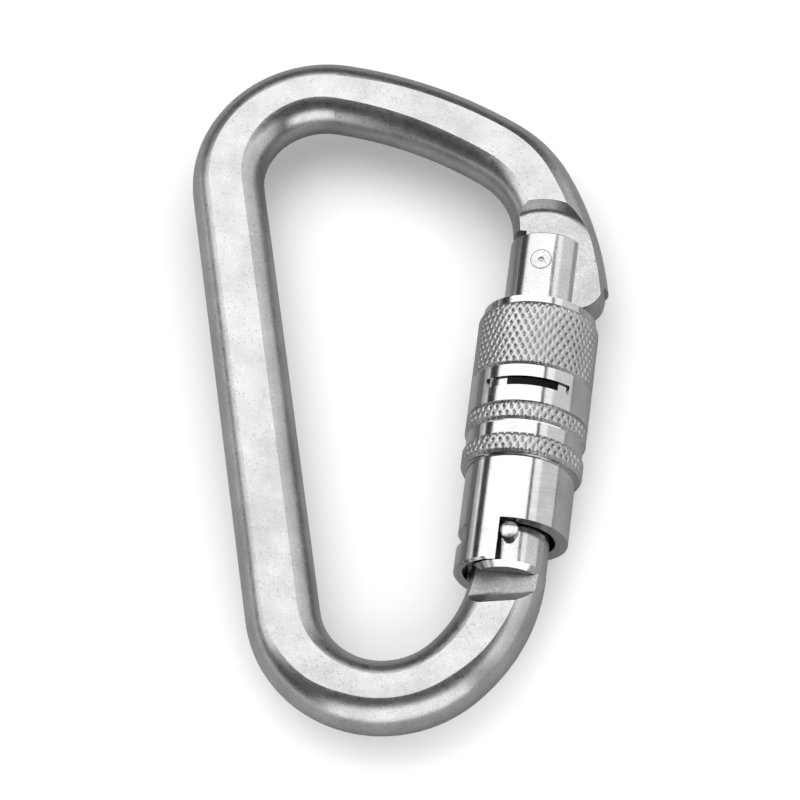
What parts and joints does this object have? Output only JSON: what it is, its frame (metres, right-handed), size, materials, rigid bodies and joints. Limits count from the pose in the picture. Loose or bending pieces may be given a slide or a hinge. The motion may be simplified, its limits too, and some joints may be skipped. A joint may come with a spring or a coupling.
{
  "type": "locking carabiner",
  "caption": "Locking carabiner: an offset D bar with a sprung gate and a knurled twist sleeve round it.",
  "frame": {"origin": "middle of the body bar's box, in its middle plane", "axes": "+Z normal to the flat of the D, +Y along the spine to the wide nose end, +X from the spine to the gate"},
  "size_m": [0.062, 0.1148, 0.0184],
  "materials": {
    "body_metal": "tumbled satin, bright",
    "gate_metal": "polished satin",
    "sleeve_metal": "turned and knurled, bright",
    "pin_steel": "riveted, satin",
    "spring_steel": "drawn wire",
    "dark_steel": "blackened spring steel",
    "bush_plastic": "moulded, matte"
  },
  "bodies": {
    "frame": {"body": "body_metal"},
    "gate_body": {"gate": "gate_metal", "gate_hinge_pin": "pin_steel", "latch_pin": "pin_steel", "gate_return_spring": "spring_steel", "sleeve_torsion_spring": "spring_steel", "spring_anchor_collar": "pin_steel"},
    "sleeve_body": {"locking_sleeve": "sleeve_metal", "sleeve_bush": "bush_plastic", "retaining_clip": "dark_steel"},
    "plunger_body": {"gate_plunger": "spring_steel"}
  },
  "joints": [
    {"name": "gate_swing", "type": "hinge", "parent": "frame", "child": "gate_body", "pos_m": [0.01006, -0.03079, 0], "axis": [0, 0, 1], "range_deg": [0, 24]},
    {"name": "sleeve_turn", "type": "hinge", "parent": "gate_body", "child": "sleeve_body", "pos_m": [0.0151, -0.01144, 0], "axis": [0.2521, 0.9677, 0], "range_deg": [-118, 0]},
    {"name": "plunger_slide", "type": "slide", "parent": "gate_body", "child": "plunger_body", "axis": [0.2521, 0.9677, 0], "range_m": [0, 0.0008]}
  ],
  "couplings": [
    {"joint": "sleeve_turn", "follows": "gate_swing", "ratio": -4.9167},
    {"joint": "plunger_slide", "follows": "gate_swing", "m_per_rad": 0.0019099}
  ]
}
